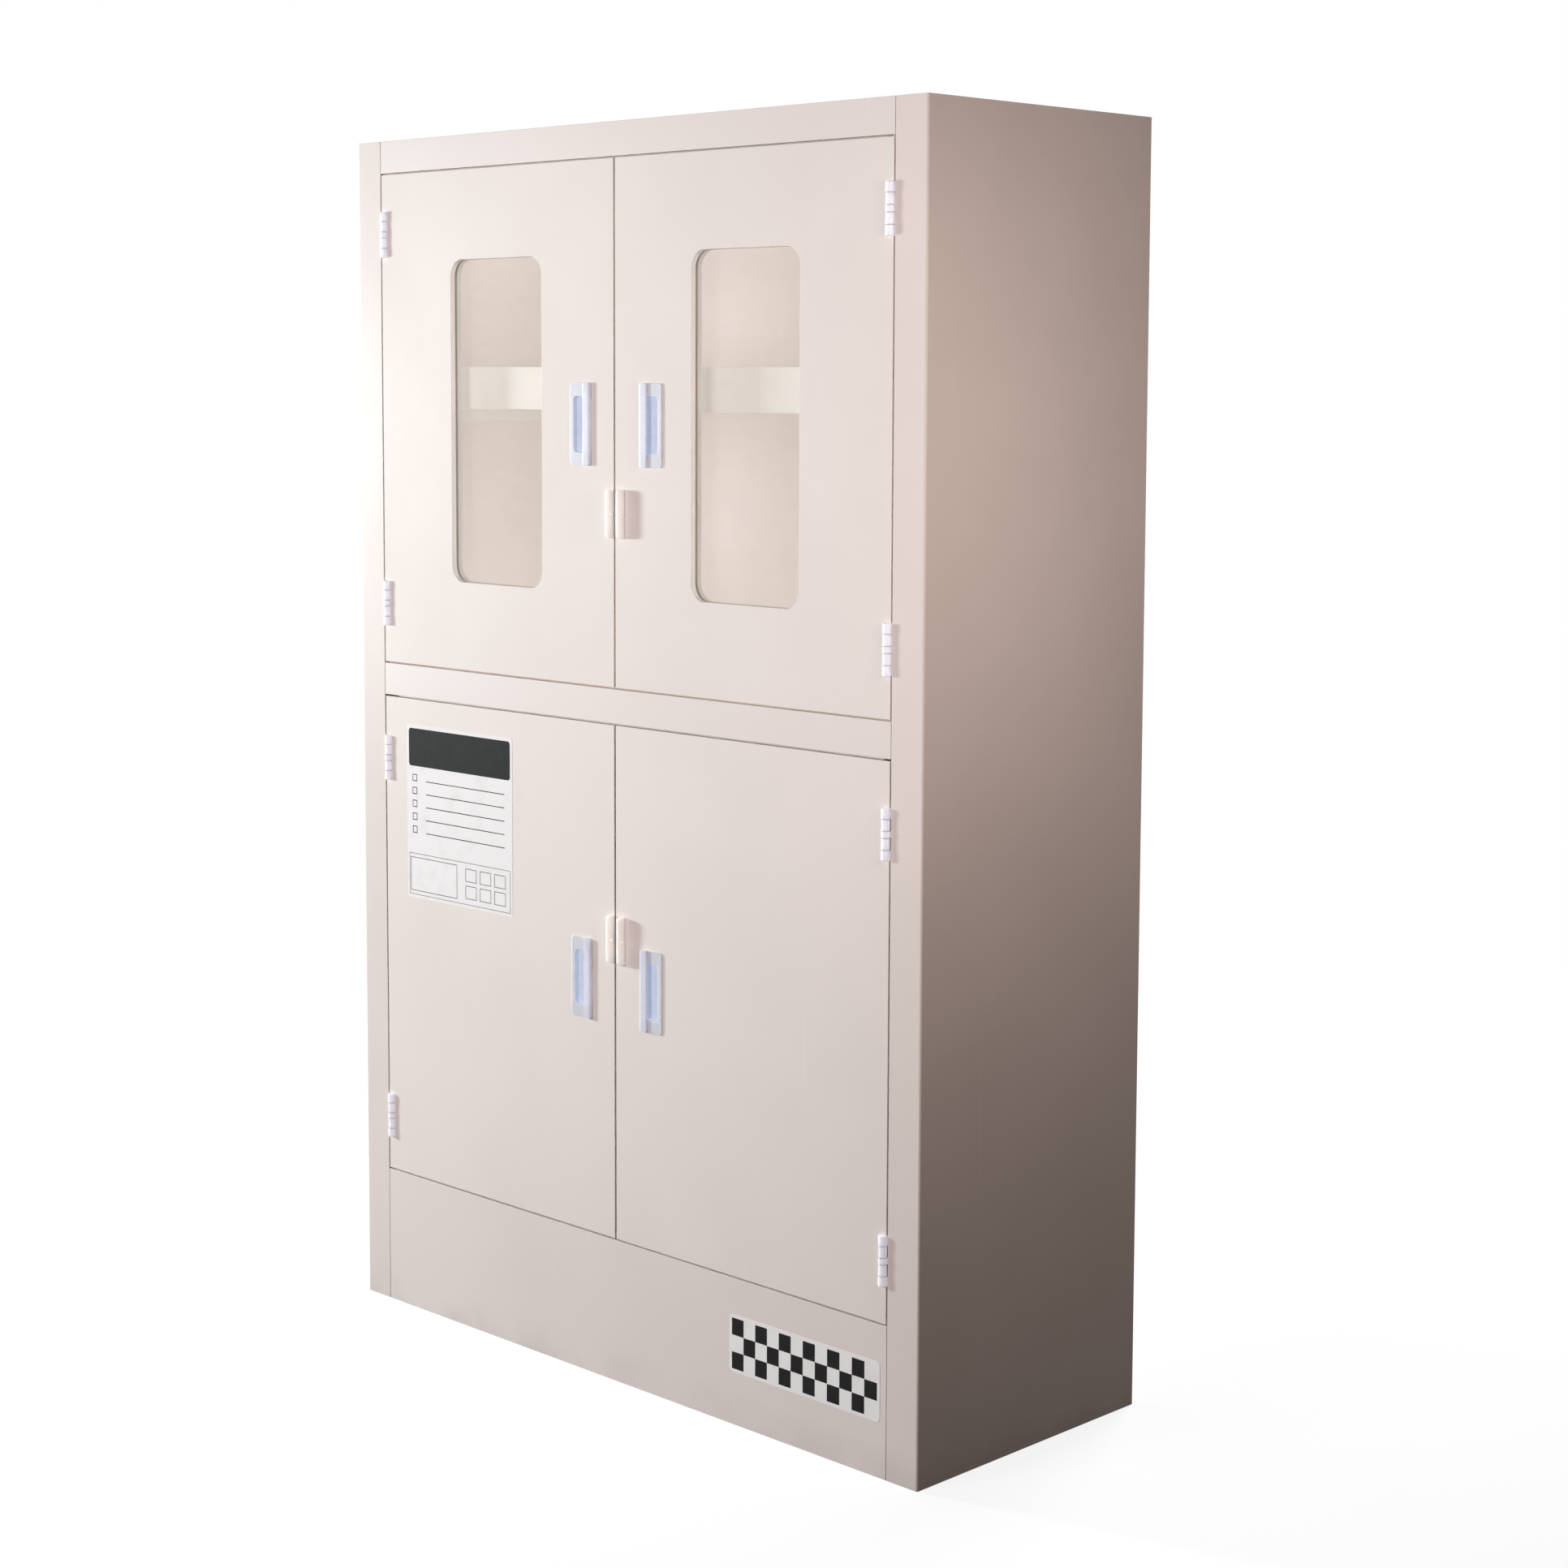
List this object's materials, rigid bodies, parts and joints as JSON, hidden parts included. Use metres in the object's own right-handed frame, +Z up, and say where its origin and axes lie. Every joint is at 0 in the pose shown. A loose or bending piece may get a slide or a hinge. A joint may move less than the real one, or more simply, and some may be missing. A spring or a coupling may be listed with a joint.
{
  "type": "reagent storage cabinet",
  "caption": "Tall welded plastic storage cabinet for reagents, with windowed upper doors, plain lower doors, tray shelves, recessed pulls and padlock ears.",
  "frame": {"origin": "centre of the case's footprint, on the floor", "axes": "+X to the right as seen from the front, -Y out of the front doors, +Z up"},
  "size_m": [1.17, 0.467, 1.8],
  "materials": {
    "case_sheet": "porcelain-white polypropylene sheet, smooth satin",
    "door_sheet": "porcelain-white polypropylene sheet, smooth satin",
    "inner_sheet": "porcelain-white polypropylene sheet inside the cabinet",
    "hardware_plastic": "moulded plastic, cool white, soft gloss",
    "pocket_plastic": "moulded plastic, pale blue-grey",
    "ear_plastic": "cream plastic plate with rounded edges",
    "window_sheet": "clear plastic sheet",
    "steel": "plated steel"
  },
  "bodies": {
    "case": {"side_sheet_left": "case_sheet", "side_sheet_right": "case_sheet", "back_panel": "case_sheet", "top_panel": "case_sheet", "base_panel": "case_sheet", "floor_panel": "inner_sheet", "divider_panel": "inner_sheet", "top_rail": "case_sheet", "mid_rail": "case_sheet", "plinth_panel": "case_sheet", "base_ribs": "inner_sheet", "upper_stop_strip": "inner_sheet", "lower_stop_strip": "inner_sheet", "upper_shelf": "inner_sheet", "lower_shelf": "inner_sheet", "upper_shelf_ledges": "inner_sheet", "lower_shelf_ledges": "inner_sheet", "upper_catch": "hardware_plastic", "lower_catch": "hardware_plastic", "upper_left_frame_leaves": "hardware_plastic", "upper_left_hinge_pins": "hardware_plastic", "upper_right_frame_leaves": "hardware_plastic", "upper_right_hinge_pins": "hardware_plastic", "lower_left_frame_leaves": "hardware_plastic", "lower_left_hinge_pins": "hardware_plastic", "lower_right_frame_leaves": "hardware_plastic", "lower_right_hinge_pins": "hardware_plastic"},
    "upper_left_leaf": {"upper_left_door": "door_sheet", "upper_left_handle": "hardware_plastic", "upper_left_cup": "pocket_plastic", "upper_left_lock_ear": "ear_plastic", "upper_left_door_leaves": "hardware_plastic", "upper_left_strike": "steel", "upper_left_window": "window_sheet", "upper_left_window_frame": "inner_sheet"},
    "upper_right_leaf": {"upper_right_door": "door_sheet", "upper_right_handle": "hardware_plastic", "upper_right_cup": "pocket_plastic", "upper_right_lock_ear": "ear_plastic", "upper_right_door_leaves": "hardware_plastic", "upper_right_strike": "steel", "upper_right_window": "window_sheet", "upper_right_window_frame": "inner_sheet"},
    "lower_left_leaf": {"lower_left_door": "door_sheet", "lower_left_handle": "hardware_plastic", "lower_left_cup": "pocket_plastic", "lower_left_lock_ear": "ear_plastic", "lower_left_door_leaves": "hardware_plastic", "lower_left_strike": "steel", "lower_left_stiffener": "inner_sheet"},
    "lower_right_leaf": {"lower_right_door": "door_sheet", "lower_right_handle": "hardware_plastic", "lower_right_cup": "pocket_plastic", "lower_right_lock_ear": "ear_plastic", "lower_right_door_leaves": "hardware_plastic", "lower_right_strike": "steel", "lower_right_stiffener": "inner_sheet"}
  },
  "joints": [
    {"name": "upper_left_door_hinge", "type": "hinge", "parent": "case", "child": "upper_left_leaf", "pos_m": [-0.5213, -0.2275, 1.379], "axis": [0, 0, -1], "range_deg": [0, 170]},
    {"name": "upper_right_door_hinge", "type": "hinge", "parent": "case", "child": "upper_right_leaf", "pos_m": [0.5213, -0.2275, 1.379], "axis": [0, 0, 1], "range_deg": [0, 170]},
    {"name": "lower_left_door_hinge", "type": "hinge", "parent": "case", "child": "lower_left_leaf", "pos_m": [-0.5213, -0.2275, 0.5825], "axis": [0, 0, -1], "range_deg": [0, 170]},
    {"name": "lower_right_door_hinge", "type": "hinge", "parent": "case", "child": "lower_right_leaf", "pos_m": [0.5213, -0.2275, 0.5825], "axis": [0, 0, 1], "range_deg": [0, 170]}
  ]
}
